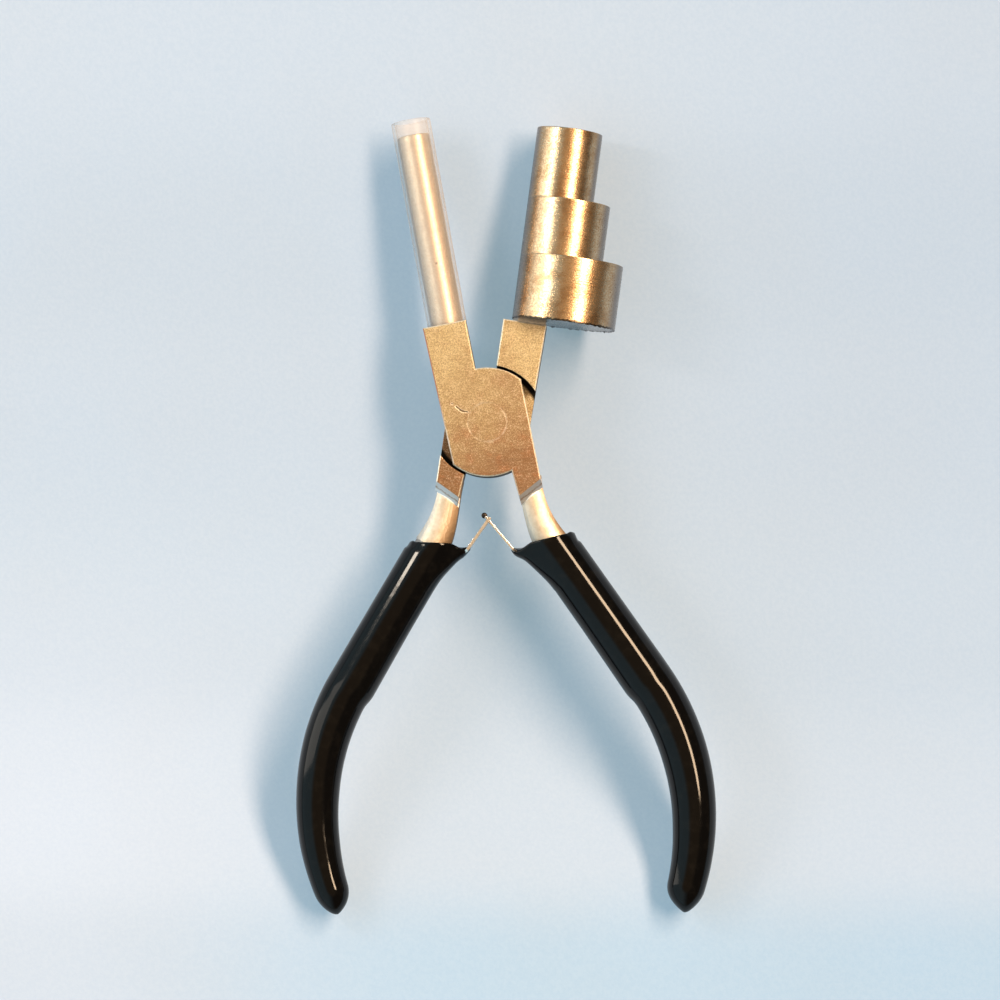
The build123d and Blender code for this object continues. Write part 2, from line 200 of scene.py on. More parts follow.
class Shader:
    """A Principled material whose sockets are fed by small chains of nodes."""

    def __init__(self, name):
        self.material = bpy.data.materials.new(name)
        self.material.use_nodes = True
        self.tree = self.material.node_tree
        self.principled = self.tree.nodes["Principled BSDF"]
        self.output = self.tree.nodes["Material Output"]

    def node(self, kind, **settings):
        made = self.tree.nodes.new(kind)
        for key, value in settings.items():
            setattr(made, key, value)
        return made

    def feed(self, socket, value):
        if isinstance(value, bpy.types.NodeSocket):
            self.tree.links.new(value, socket)
        elif value is not None:
            socket.default_value = value

    def object_mm(self, side=None, lean=0.0, stretch=(1, 1, 1)):
        """Object coordinates in millimetres, turned upright for a half and stretched."""
        turn = 0.0 if side is None else (-side["turn"] if side["mirror"] > 0 else side["turn"])
        first = self.node("ShaderNodeMapping", vector_type="POINT")
        self.feed(first.inputs["Vector"], self.node("ShaderNodeTexCoord").outputs["Object"])
        first.inputs["Scale"].default_value = (1000, 1000, 1000)
        first.inputs["Rotation"].default_value = (0, 0, turn + math.radians(lean))
        flip = -1 if side is not None and side["mirror"] < 0 else 1
        second = self.node("ShaderNodeMapping", vector_type="POINT")
        self.feed(second.inputs["Vector"], first.outputs["Vector"])
        second.inputs["Scale"].default_value = (stretch[0] * flip, stretch[1], stretch[2])
        return second.outputs["Vector"]

    def noise(self, vector, scale, detail, roughness):
        made = self.node("ShaderNodeTexNoise")
        self.feed(made.inputs["Vector"], vector)
        made.inputs["Scale"].default_value = scale
        made.inputs["Detail"].default_value = detail
        made.inputs["Roughness"].default_value = roughness
        return made.outputs["Fac"]

    def math(self, operation, a, b=None, c=None, clamp=False):
        made = self.node("ShaderNodeMath", operation=operation, use_clamp=clamp)
        for socket, value in zip(made.inputs, (a, b, c)):
            self.feed(socket, value)
        return made.outputs[0]

    def span(self, value, low, high, to_low=0.0, to_high=1.0):
        """A smooth step from to_low to to_high as the value goes from low to high."""
        made = self.node("ShaderNodeMapRange", interpolation_type="SMOOTHSTEP")
        self.feed(made.inputs["Value"], value)
        for key, number in (("From Min", low), ("From Max", high), ("To Min", to_low), ("To Max", to_high)):
            self.feed(made.inputs[key], number)
        return made.outputs["Result"]

    def mix(self, factor, a, b, blend="MIX"):
        made = self.node("ShaderNodeMix", data_type="RGBA", blend_type=blend)
        self.feed(made.inputs["Factor"], factor)
        self.feed(made.inputs["A"], a if isinstance(a, bpy.types.NodeSocket) else (*a, 1.0))
        self.feed(made.inputs["B"], b if isinstance(b, bpy.types.NodeSocket) else (*b, 1.0))
        return made.outputs["Result"]

    def split(self, vector):
        made = self.node("ShaderNodeSeparateXYZ")
        self.feed(made.inputs[0], vector)
        return made.outputs

    def length(self, dx, dy):
        squares = self.math("ADD", self.math("MULTIPLY", dx, dx), self.math("MULTIPLY", dy, dy))
        return self.math("SQRT", squares)

    def away_from(self, x, y, point):
        """Distance in the plane of the tool from a point."""
        dx = self.math("SUBTRACT", x, point[0])
        dy = self.math("SUBTRACT", y, point[1])
        return self.length(dx, dy)

    def away_from_line(self, x, y, a, b):
        """Distance in the plane of the tool from the line between two points."""
        run = (b[0] - a[0], b[1] - a[1])
        square = run[0] ** 2 + run[1] ** 2
        dx = self.math("SUBTRACT", x, a[0])
        dy = self.math("SUBTRACT", y, a[1])
        along = self.math("ADD", self.math("MULTIPLY", dx, run[0] / square),
                          self.math("MULTIPLY", dy, run[1] / square), clamp=True)
        dx = self.math("SUBTRACT", dx, self.math("MULTIPLY", along, run[0]))
        dy = self.math("SUBTRACT", dy, self.math("MULTIPLY", along, run[1]))
        return self.length(dx, dy)

    def normal_z(self):
        geometry = self.node("ShaderNodeNewGeometry")
        return self.math("ABSOLUTE", self.split(geometry.outputs["True Normal"])["Z"])

    def bump(self, height, distance, strength=1.0, normal=None):
        made = self.node("ShaderNodeBump")
        self.feed(made.inputs["Height"], height)
        made.inputs["Distance"].default_value = distance
        made.inputs["Strength"].default_value = strength
        self.feed(made.inputs["Normal"], normal)
        return made.outputs["Normal"]

    def finish(self, **sockets):
        for key, value in sockets.items():
            name = key.replace("_", " ").title().replace("Ior", "IOR")
            if isinstance(value, tuple) and len(value) == 3:
                value = (*value, 1.0)
            self.feed(self.principled.inputs[name], value)
        return self.material


# ---------------------------------------------------------------- materials

GROUND_GOLD = (0.68, 0.575, 0.335)
GROUND_BROWN = (0.315, 0.18, 0.092)
# stains of the ground steel, also used as painted shade below the barrel
STAIN_AND_PAINTED_SHADE = (0.20, 0.12, 0.07)
GROUND_RUST = (0.46, 0.20, 0.09)
PAINTED_SIDE_SHADE = (0.13, 0.11, 0.095)
PAINTED_GAP_SHADOW = (0.012, 0.011, 0.010)
SHANK_SILVER = (0.66, 0.59, 0.49)
SHANK_PAINTED_REFLECTION = (0.34, 0.34, 0.34)
SHANK_GOLD = (0.46, 0.34, 0.20)
SHANK_PAINTED_SHADE = (0.21, 0.135, 0.075)
RAMP_PAINTED_REFLECTION = (0.62, 0.62, 0.62)
PALE_MARKS_AND_PAINTED_GLINT = (0.98, 0.90, 0.78)
PAINTED_EDGE_SHADE = (0.50, 0.20, 0.10)
TURNED_PALE = (0.60, 0.47, 0.31)
TURNED_GOLD = (0.46, 0.285, 0.15)
TURNED_BROWN = (0.30, 0.16, 0.07)
TURNED_PAINTED_SIDE_SHADE = (0.20, 0.18, 0.17)
PAPER_BLUE = (0.288, 0.389, 0.566)
PAPER_PAINTED_LIGHT = (0.303, 0.406, 0.584)
PAPER_NEAR_PAINTED_TINT = (0.264, 0.400, 0.605)
PAPER_RIGHT_PAINTED_SHADE = (0.955, 0.965, 0.98)       # times the rest, at the right edge
PAPER_LEFT_PAINTED_LIGHT = (0.330, 0.430, 0.615)
PAPER_SHADE = (0.74, 0.653, 0.62)        # share of the paper's colour that it reflects
PAPER_PAINTED_GLOW = (0.62, 0.690, 0.555)     # share of it that the paper gives off as a painted glow
SCRATCH = [(-5.95, 3.0), (-4.9, 2.1), (-3.8, 1.9)]
SCRATCH_PIT = (-6.75, 3.5)
BARREL_TANGENT = (-1.72, 20.9)
HEAD_RADIUS = 3.75          # of the rivet, ground flush


def blend_value(m, factor, a, b):
    made = m.node("ShaderNodeMix", data_type="FLOAT")
    for key, value in (("Factor", factor), ("A", a), ("B", b)):
        m.feed(made.inputs[key], value)
    return made.outputs["Result"]


def half_steel(name, side):
    """Ground brown-gold joint faces with a painted reflection, broken edges with painted highlights, ramps in
    a painted grey reflection, sides in painted shade and silver shanks with painted shade on their flanks.
    """
    m = Shader(name)
    mm = m.object_mm(side)
    x, y, z = m.split(mm)
    up = m.normal_z()
    sideways = m.split(m.node("ShaderNodeNewGeometry").outputs["True Normal"])["X"]
    # height above the slanting line at which the ramp on each ground face ends
    end_line = m.math("ADD", m.math("MULTIPLY_ADD", x, -0.516, 18.48), y)
    on_joint = m.span(end_line, 0.9, 1.2)
    flat = m.math("MULTIPLY", m.span(up, 0.95, 0.995), on_joint)
    ramp = m.math("MULTIPLY", m.span(up, 0.55, 0.66), m.span(end_line, 1.75, 1.55))
    ramp = m.math("MULTIPLY", ramp, m.span(end_line, -0.15, 0.0))
    steep = m.math("MULTIPLY", m.span(up, 0.5, 0.3), on_joint)
    slant = m.span(m.math("ABSOLUTE", m.math("SUBTRACT", up, 0.707)), 0.12, 0.05)
    edge = m.math("MULTIPLY", slant, m.span(end_line, 1.6, 1.9))
    grit = m.noise(mm, 3.4, 5, 0.85)
    speckle = m.noise(mm, 0.9, 4, 0.75)
    blotch = m.noise(mm, 0.16, 4, 0.55)
    lines = m.noise(m.object_mm(side, lean=9.0, stretch=(0.12, 3.2, 1)), 1.0, 3, 0.6)
    lined = m.span(y, -2.0, -9.0)
    # painted reflection: the ground faces are golden on the neck and browner towards the handle, standing in
    # for what they mirror; blotches of random tone on top
    painted_sheen_and_blotch = m.math("ADD", m.math("MULTIPLY_ADD", y, -0.036, 0.60), m.math("MULTIPLY", x, 0.022))
    painted_sheen_and_blotch = m.math("ADD", painted_sheen_and_blotch, m.math("MULTIPLY_ADD", blotch, 0.9, -0.45), clamp=True)
    tone = m.math("ADD", m.math("MULTIPLY", speckle, 0.22), m.math("MULTIPLY", grit, 0.78))
    base = m.mix(painted_sheen_and_blotch, GROUND_GOLD, GROUND_BROWN)
    rust = m.span(m.noise(mm, 0.33, 4, 0.7), 0.48, 0.66)
    rust = m.math("MULTIPLY", rust, m.span(painted_sheen_and_blotch, 0.45, 0.9, 0.1, 0.6))
    base = m.mix(rust, base, GROUND_RUST)
    base = m.mix(m.span(tone, 0.53, 0.45, 0.0, 0.72), base, STAIN_AND_PAINTED_SHADE)
    base = m.mix(m.span(tone, 0.53, 0.59, 0.0, 0.55), base, PALE_MARKS_AND_PAINTED_GLINT)
    base = m.mix(m.math("MULTIPLY", lined, m.span(lines, 0.46, 0.64, 0.0, 0.5)), base, STAIN_AND_PAINTED_SHADE)
    radial = m.away_from(x, y, (0.0, 0.0))
    ring = m.span(m.math("ABSOLUTE", m.math("SUBTRACT", radial, HEAD_RADIUS)), 0.30, 0.05)
    ring = m.math("MULTIPLY", ring, m.span(speckle, 0.42, 0.60, 0.03, 0.30))
    base = m.mix(ring, base, PALE_MARKS_AND_PAINTED_GLINT)
    # painted shade: the back half's neck darkens just below the barrel, where the barrel overhangs it
    painted_shade_under_barrel = m.span(y, 17.6, 20.4, 0.0, 0.45)
    if side is BACK:
        base = m.mix(painted_shade_under_barrel, base, STAIN_AND_PAINTED_SHADE)
    # painted shadow: the lapped floor is dark close to the shoulder, which shades it
    in_lap = m.span(m.math("ABSOLUTE", m.math("SUBTRACT", z, MID_Z)), 0.6, 0.3)
    corner = m.math("MULTIPLY", in_lap, m.span(radial, 9.7, 10.3))
    base = m.mix(corner, base, PAINTED_GAP_SHADOW)
    groove = None
    if side is FRONT:
        row_x, row_y = m.split(m.object_mm())[:2]
        wander = m.math("MULTIPLY_ADD", speckle, 0.5, -0.25)
        row_y = m.math("ADD", row_y, wander)
        scratch = m.math("MINIMUM", m.away_from_line(row_x, row_y, SCRATCH[0], SCRATCH[1]),
                         m.away_from_line(row_x, row_y, SCRATCH[1], SCRATCH[2]))
        scratch = m.math("MINIMUM", scratch, m.away_from(row_x, row_y, SCRATCH_PIT))
        groove = m.math("MULTIPLY", m.span(scratch, 0.21, 0.08), m.span(grit, 0.3, 0.5, 0.4, 1.0))
        groove = m.math("MULTIPLY", groove, m.span(z, MID_Z, MID_Z + 2))
        # painted highlight along the scratch's lips, and the groove painted dark
        painted_lip_glint = m.math("MULTIPLY", m.span(scratch, 0.36, 0.22), m.span(scratch, 0.12, 0.20))
        base = m.mix(m.math("MULTIPLY", painted_lip_glint, 0.55), base, PALE_MARKS_AND_PAINTED_GLINT)
        base = m.mix(m.math("MULTIPLY", groove, 0.85), base, (0.06, 0.035, 0.02))
    shank = m.mix(m.span(m.noise(mm, 0.8, 3, 0.6), 0.3, 0.75, 0.0, 0.5), SHANK_SILVER, SHANK_GOLD)
    # painted shade on the shank's flank facing +X and a painted grey reflection on the flank facing -X; the
    # silver and gold mix is random tone
    shade_from, shade_to = (0.20, 0.60) if side is FRONT else (-0.05, 0.36)
    shank = m.mix(m.span(sideways, shade_from, shade_to, 0.0, 0.9), shank, SHANK_PAINTED_SHADE)
    shank = m.mix(m.span(sideways, -0.30, -0.60, 0.0, 0.8), shank, SHANK_PAINTED_REFLECTION)
    # painted shade on the shank's steep sides, with the forging's parting line painted as a bright highlight
    shank_side = m.math("MULTIPLY", m.span(up, 0.42, 0.22), m.span(end_line, 0.3, -0.3))
    parting = m.span(m.math("ABSOLUTE", m.math("SUBTRACT", z, MID_Z)), 0.24, 0.12)
    shank = m.mix(shank_side, shank, m.mix(m.math("MULTIPLY", parting, 0.45), PAINTED_SIDE_SHADE, PALE_MARKS_AND_PAINTED_GLINT))
    colour = m.mix(flat, shank, base)
    # painted shade: the steep side walls of the joint are dark, and black in the gap between the plate's rim
    # and the shoulder
    arc_wall = m.math("MULTIPLY", m.span(radial, 10.2, 10.4), m.span(radial, 11.3, 11.1))
    colour = m.mix(steep, colour, m.mix(arc_wall, PAINTED_SIDE_SHADE, PAINTED_GAP_SHADOW))
    # painted reflection: the sloping ramps are grey, shading from pale to mid grey along the ramp, with a
    # brown streak across them
    ramp_tone = m.mix(m.span(end_line, 0.2, 1.3), (0.76, 0.78, 0.80), RAMP_PAINTED_REFLECTION)
    streak = m.math("SUBTRACT", end_line, m.math("MULTIPLY_ADD", speckle, 0.8, 0.35))
    streak = m.span(m.math("ABSOLUTE", streak), 0.24, 0.08)
    ramp_tone = m.mix(m.math("MULTIPLY", streak, m.span(grit, 0.35, 0.6, 0.2, 0.75)), ramp_tone, GROUND_BROWN)
    colour = m.mix(ramp, colour, ramp_tone)
    # painted highlight on the broken edges; on the front half, a red-brown painted shade on the edges that
    # face -X
    painted_edge_tone = m.mix(m.span(tone, 0.56, 0.44, 0.0, 0.7), PALE_MARKS_AND_PAINTED_GLINT, GROUND_GOLD)
    if side is FRONT:
        left_edge_shade = m.math("MULTIPLY", m.span(sideways, -0.35, -0.6), m.span(y, -2.0, 9.0, 0.35, 1.0))
        painted_edge_tone = m.mix(left_edge_shade, painted_edge_tone, PAINTED_EDGE_SHADE)
    colour = m.mix(edge, colour, painted_edge_tone)
    rough_flat = m.span(tone, 0.35, 0.65, 0.48, 0.30)
    rough_shank = m.span(m.noise(mm, 3.5, 3, 0.7), 0.3, 0.7, 0.46, 0.58)
    rough = blend_value(m, flat, rough_shank, rough_flat)
    rough = blend_value(m, steep, rough, 0.6)
    soft_edges = m.node("ShaderNodeBevel", samples=4)
    soft_edges.inputs["Radius"].default_value = 0.00016
    forged = m.math("MULTIPLY", m.noise(mm, 1.6, 3, 0.6), blend_value(m, flat, 1.6, 0.0))
    height = m.math("ADD", m.math("MULTIPLY", tone, 1.4), m.math("MULTIPLY", lines, 0.5))
    height = m.math("ADD", height, forged)
    if groove:
        height = m.math("SUBTRACT", height, groove)
    return m.finish(base_color=colour, metallic=1.0, roughness=rough,
                    normal=m.bump(height, 0.00004, 0.55, soft_edges.outputs["Normal"]))


def turned_steel(name, side, lean, low_rough, pit=None, rim=None, pale=0.0):
    """Turned steel with fine marks round the axis and grains of warm tarnish; painted shade darkens its
    flanks and paints its lower end grey.
    """
    m = Shader(name)
    mm = m.object_mm(side)
    marks = m.noise(m.object_mm(side, lean=lean, stretch=(0.05, 5.0, 0.05)), 1.0, 3, 0.6)
    grain = m.noise(mm, 3.2, 4, 0.7)
    blotch = m.noise(mm, 0.3, 3, 0.6)
    colour = m.mix(m.span(grain, 0.36, 0.64), TURNED_PALE, TURNED_GOLD)
    x, y = m.split(mm)[:2]
    colour = m.mix(m.span(blotch, 0.42, 0.68, 0.0, 0.6 - pale), colour, TURNED_BROWN)
    if pale:
        colour = m.mix(pale, colour, (0.84, 0.76, 0.64))
    if rim:
        # painted shadow: a ragged dark line along the lowest rim, under the barrel's overhang
        rise = m.math("ADD", m.math("SUBTRACT", y, rim[1]), m.math("MULTIPLY_ADD", x, 0.014, -0.014 * rim[0]))
        ragged = m.math("MULTIPLY_ADD", m.noise(mm, 1.1, 3, 0.7), 1.2, -0.45)
        burr = m.span(m.math("SUBTRACT", rise, ragged), 0.16, 0.02, 0.0, 0.95)
        colour = m.mix(burr, colour, (0.05, 0.04, 0.03))
    if pit:
        away = m.away_from(x, y, pit)
        colour = m.mix(m.span(away, 0.34, 0.12, 0.0, 0.8), colour, (0.12, 0.07, 0.04))
    facing = m.split(m.node("ShaderNodeNewGeometry").outputs["True Normal"])
    # painted shade on the flanks that face +X and -X, and a painted grey shade on the end faces that face -Y
    under = m.span(facing["Y"], -0.6, -0.85)
    colour = m.mix(m.span(m.math("ABSOLUTE", facing["X"]), 0.78, 0.95, 0.0, 0.9), colour, TURNED_PAINTED_SIDE_SHADE)
    colour = m.mix(under, colour, m.mix(m.span(blotch, 0.4, 0.6), (0.27, 0.28, 0.30), (0.15, 0.15, 0.16)))
    rough = m.span(grain, 0.3, 0.7, low_rough, low_rough + 0.10)
    rough = m.math("ADD", rough, m.math("MULTIPLY", marks, 0.06))
    height = m.math("ADD", marks, m.math("MULTIPLY", grain, 0.8))
    return m.finish(base_color=colour, metallic=1.0, roughness=rough, normal=m.bump(height, 0.00005, 0.55))


def black_vinyl(name):
    m = Shader(name)
    mm = m.object_mm()
    dust = m.noise(mm, 0.5, 4, 0.65)
    colour = m.mix(m.span(dust, 0.45, 0.75), (0.0012, 0.0012, 0.0014), (0.0035, 0.0032, 0.003))
    rough = m.span(m.noise(mm, 0.9, 3, 0.6), 0.3, 0.7, 0.07, 0.10)
    m.principled.inputs["Specular IOR Level"].default_value = 0.30
    dents = m.bump(m.noise(mm, 0.35, 2, 0.5), 0.0001, 0.12)
    return m.finish(base_color=colour, roughness=rough, ior=1.4, normal=dents)


def clear_sleeve(name):
    """Milky soft tube: see-through face on, whiter where the wall is seen edge on."""
    m = Shader(name)
    mm = m.object_mm()
    haze = m.noise(mm, 0.6, 3, 0.6)
    facing = m.node("ShaderNodeLayerWeight")
    facing.inputs["Blend"].default_value = 0.35
    milky = m.span(facing.outputs["Facing"], 0.25, 0.90, 0.19, 0.60)
    alpha = m.math("ADD", milky, m.span(haze, 0.4, 0.7, 0.0, 0.05), clamp=True)
    rough = m.span(haze, 0.3, 0.7, 0.25, 0.4)
    return m.finish(base_color=(0.54, 0.51, 0.49), roughness=rough, alpha=alpha, ior=1.45)


def plain_steel(name, light, dark, low_rough, high_rough):
    m = Shader(name)
    mm = m.object_mm()
    grain = m.noise(mm, 2.5, 3, 0.6)
    rough = m.span(grain, 0.3, 0.7, low_rough, high_rough)
    return m.finish(base_color=m.mix(m.span(grain, 0.35, 0.65), light, dark), metallic=1.0,
                    roughness=rough, normal=m.bump(grain, 0.00002, 0.5))


def blue_paper(name):
    """Blue-white paper with painted light: paler under the handles, bluer near the tips, lighter to the left,
    darker to the right, and a painted glow of its own.
    """
    m = Shader(name)
    mm = m.object_mm()
    x, y = m.split(mm)[:2]
    fibre = m.noise(mm, 1.4, 4, 0.65)
    cloud = m.noise(mm, 0.02, 2, 0.5)
    # painted light: paler under the handles, bluer near the tips and lighter on the left
    colour = m.mix(m.span(y, 5.0, -38.0), PAPER_BLUE, PAPER_PAINTED_LIGHT)
    colour = m.mix(m.span(y, -84.0, -104.0), colour, PAPER_NEAR_PAINTED_TINT)
    colour = m.mix(m.math("MULTIPLY", m.span(x, 0.0, -90.0), m.span(y, -10.0, -60.0)), colour, PAPER_LEFT_PAINTED_LIGHT)
    colour = m.mix(m.span(cloud, 0.35, 0.7, 0.0, 0.05), colour, (0.30, 0.30, 0.30))
    colour = m.mix(m.span(fibre, 0.3, 0.7, 0.0, 0.03), colour, (1.0, 1.0, 1.0))
    # painted shade: darker towards the right edge
    colour = m.mix(m.span(x, 10.0, 95.0), colour, m.mix(1.0, colour, PAPER_RIGHT_PAINTED_SHADE, "MULTIPLY"))
    # painted glow: the paper gives off light of its own, which lifts its shadows
    through = m.mix(1.0, colour, PAPER_PAINTED_GLOW, "MULTIPLY")
    m.principled.inputs["Specular IOR Level"].default_value = 0.2
    return m.finish(base_color=m.mix(1.0, colour, PAPER_SHADE, "MULTIPLY"), roughness=0.85,
                    emission_color=through, emission_strength=1.0, normal=m.bump(fibre, 0.00006, 0.3))


steel_front = half_steel("ground_steel_front", FRONT)
steel_back = half_steel("ground_steel_back", BACK)
barrel_steel = turned_steel("turned_steel_barrel", BACK, 0.8, 0.18, rim=BARREL_TANGENT)
rod_steel = turned_steel("turned_steel_rod", FRONT, 1.0, 0.34, pit=(-3.6, 32.0), pale=0.35)
vinyl = black_vinyl("black_vinyl")
sleeve_plastic = clear_sleeve("clear_sleeve")
spring_steel = plain_steel("spring_steel", (0.90, 0.86, 0.80), (0.66, 0.62, 0.56), 0.24, 0.36)
bead_steel = plain_steel("bead_steel", (0.02, 0.018, 0.016), (0.05, 0.04, 0.035), 0.4, 0.55)
braze = plain_steel("braze_metal", (0.36, 0.33, 0.30), (0.50, 0.42, 0.32), 0.35, 0.5)


def dress(node, material):
    mesh = nodes[node].data
    mesh.materials.clear()
    mesh.materials.append(material)
    for slot in nodes[node].material_slots:
        slot.material = material


DRESSED = {
    steel_front: ("front_half", "pivot_rivet"),
    steel_back: ("back_half",),
    rod_steel: ("mandrel_rod",),
    sleeve_plastic: ("rod_sleeve",),
    barrel_steel: ("stepped_mandrel",),
    braze: ("mandrel_braze",),
    vinyl: ("right_grip", "left_grip"),
    spring_steel: ("right_spring_root", "left_spring_root", "right_spring_leaf", "left_spring_leaf",
                   "right_spring_rivet", "left_spring_rivet"),
}
for material, its_nodes in DRESSED.items():
    for node in its_nodes:
        dress(node, material)


def show(obj, body, slot, *replaced):
    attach(obj, body)
    if replaced:
        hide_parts(*replaced)
    return obj


def weighted_normals(obj):
    obj.data.set_sharp_from_angle(angle=math.radians(25))
    weighted = obj.modifiers.new("weighted_normals", "WEIGHTED_NORMAL")
    weighted.keep_sharp = True
    return obj


def settle(obj):
    """Replace a mesh by what its modifiers make of it."""
    graph = bpy.context.evaluated_depsgraph_get()
    final = bpy.data.meshes.new_from_object(obj.evaluated_get(graph))
    obj.modifiers.clear()
    obj.data = final
    return obj


# ---------------------------------------------------------------- round jaw and sleeve

JAW_FOOT = (-3.95, 20.1)
JAW_LEAN = 1.0
ROD_RADIUS = 3.15
ROD_LENGTH = 37.3
SLEEVE_BORE = 3.22
SLEEVE_RADIUS = 3.85
SLEEVE_LENGTH = 40.2
ROUND_SEGMENTS = 128


def round_jaw():
    profile = rounded([(0.001, 0.05, 0), (ROD_RADIUS, 0.05, 0),
                       (ROD_RADIUS, ROD_LENGTH, 0.4), (0.001, ROD_LENGTH, 0)])
    heights = np.linspace(0.05, ROD_LENGTH - 0.4, 30)[1:-1]
    profile = profile[:2] + [(ROD_RADIUS, h) for h in heights] + profile[2:]
    rings = lathe_rings(profile, ROUND_SEGMENTS, JAW_FOOT, lean_vector(JAW_LEAN))
    return weighted_normals(object_from("round_jaw", rings_to_mesh(placed(rings, place_front)), rod_steel))


def wavy(p, size, reach, seed):
    """A small smooth shift of a point, the same every run."""
    return noise.noise(Vector((p.x / size + seed, p.y / size, p.z / size))) * reach


def jaw_sleeve():
    top = SLEEVE_LENGTH
    outer = [(SLEEVE_RADIUS, h) for h in np.linspace(0.12, top - 0.25, 44)]
    lip = [(SLEEVE_RADIUS - 0.07, top - 0.07), (SLEEVE_RADIUS - 0.25, top),
           (SLEEVE_BORE + 0.2, top), (SLEEVE_BORE + 0.04, top - 0.12)]
    inner = [(SLEEVE_BORE, h) for h in np.linspace(top - 0.35, 0.12, 44)]
    rings = lathe_rings(outer + lip + inner + outer[:1], ROUND_SEGMENTS, JAW_FOOT, lean_vector(JAW_LEAN))[:-1]
    bm = bmesh.new()
    rows = []
    for ring in rings:
        centre = sum(ring, Vector()) / len(ring)
        row = []
        for p in ring:
            outward = (p - centre).normalized()
            # the tube is soft, so it stands a little off round above the rod
            above = max(0.0, (p.y - JAW_FOOT[1] - ROD_LENGTH) / 3.0)
            shift = wavy(p, 5.0, -0.05, 3.0) - 0.03 * above * (1 + outward.z)
            row.append(bm.verts.new(place_front(*(p + outward * min(shift, 0.0)))))
        rows.append(row)
    for a, b in zip(rows, rows[1:] + rows[:1]):
        for i in range(ROUND_SEGMENTS):
            bm.faces.new((a[i], a[(i + 1) % ROUND_SEGMENTS], b[(i + 1) % ROUND_SEGMENTS], b[i]))
    return object_from("jaw_sleeve", bm, sleeve_plastic)


show(round_jaw(), "front", "turned_steel", "mandrel_rod")
show(jaw_sleeve(), "front", "clear_sleeve", "rod_sleeve")

# ---------------------------------------------------------------- stepped barrel

BARREL_LEAN = 0.8
BARREL_STEPS = [(10.0, 12.45), (8.0, 11.15), (6.35, 13.6)]
BARREL_SEGMENTS = 224


def barrel_step(radius, low, high, name, burr=0.0):
    along = lean_vector(BARREL_LEAN)
    foot = (BARREL_TANGENT[0] - radius * along[1], BARREL_TANGENT[1] + radius * along[0])
    foot = (foot[0] + along[0] * low, foot[1] + along[1] * low)
    length = high - low
    profile = rounded([(0.001, 0, 0), (radius - 0.6, 0, 0), (radius, 0, 0.12), (radius, length, 0.22),
                       (radius - 0.6, length, 0), (0.001, length, 0)])
    rings = lathe_rings(profile, BARREL_SEGMENTS, foot, along)
    if burr:
        axis = Vector((*along, 0))
        for k in range(2, 7):
            for i, p in enumerate(rings[k]):
                ragged = abs(noise.noise(Vector((p.x * 1.3, 2.0, p.z * 1.3))))
                ragged += 0.5 * abs(noise.noise(Vector((p.x * 3.1, 5.0, p.z * 3.1))))
                rings[k][i] = p - axis * burr * ragged * (1.0 if k < 5 else 0.4)
    return object_from(name, rings_to_mesh(placed(rings, place_back)), barrel_steel)


def stepped_barrel():
    rise = 0.0
    barrel = None
    for i, (radius, length) in enumerate(BARREL_STEPS):
        overlap = 0.1 if i else 0.0
        step = barrel_step(radius, rise - overlap, rise + length, f"step_{i}", burr=0.0 if i else 0.35)
        rise += length
        if barrel is None:
            barrel = step
            continue
        union = barrel.modifiers.new("union", "BOOLEAN")
        union.operation = "UNION"
        union.solver = "EXACT"
        union.object = step
        settle(barrel)
        bpy.data.objects.remove(step)
    barrel.name = barrel.data.name = "stepped_barrel"
    barrel.data.polygons.foreach_set("use_smooth", [True] * len(barrel.data.polygons))
    return weighted_normals(barrel)


show(stepped_barrel(), "back", "turned_steel", "stepped_mandrel")

# ---------------------------------------------------------------- dipped grips

GRIP_MOUTH = -24.3          # of the skin's first section, before its edge is cut to shape
MOUTH_HOLE = (3.42, 3.6)    # half widths of the hole round the shank
LIP_HALF_WIDTH = 3.3
LIP_TIP = np.array((-0.3, -24.6))
LIP_ROOT = np.array((3.9, -29.9))
GRIP_AROUND = 112
# From the rim of the mouth in to the shank: share of the way left, and height above the rim.
MOUTH_STEPS = [(0.93, 0.16), (0.84, 0.22), (0.7, 0.18), (0.45, 0.05),
               (0.15, -0.1), (0.0, -0.35), (-0.02, -2.5)]
TIP_SHARPNESS = 1.35        # 1 would be a round dome
TIP_LENGTH = 4.8            # of the closed end, from its full width to its point


def smooth01(t):
    t = max(0.0, min(1.0, t))
    return t * t * (3 - 2 * t)


def half_widths(side, s):
    """Half widths of the grip at length s, towards the other handle and away from it, corners softened."""
    near = s + np.linspace(-0.9, 0.9, 7)
    return [float(np.mean(np.interp(near, *zip(*side[key])))) for key in ("inner", "outer")]


def mouth_edge(side, x):
    return float(np.interp(x, *zip(*side["mouth"])))


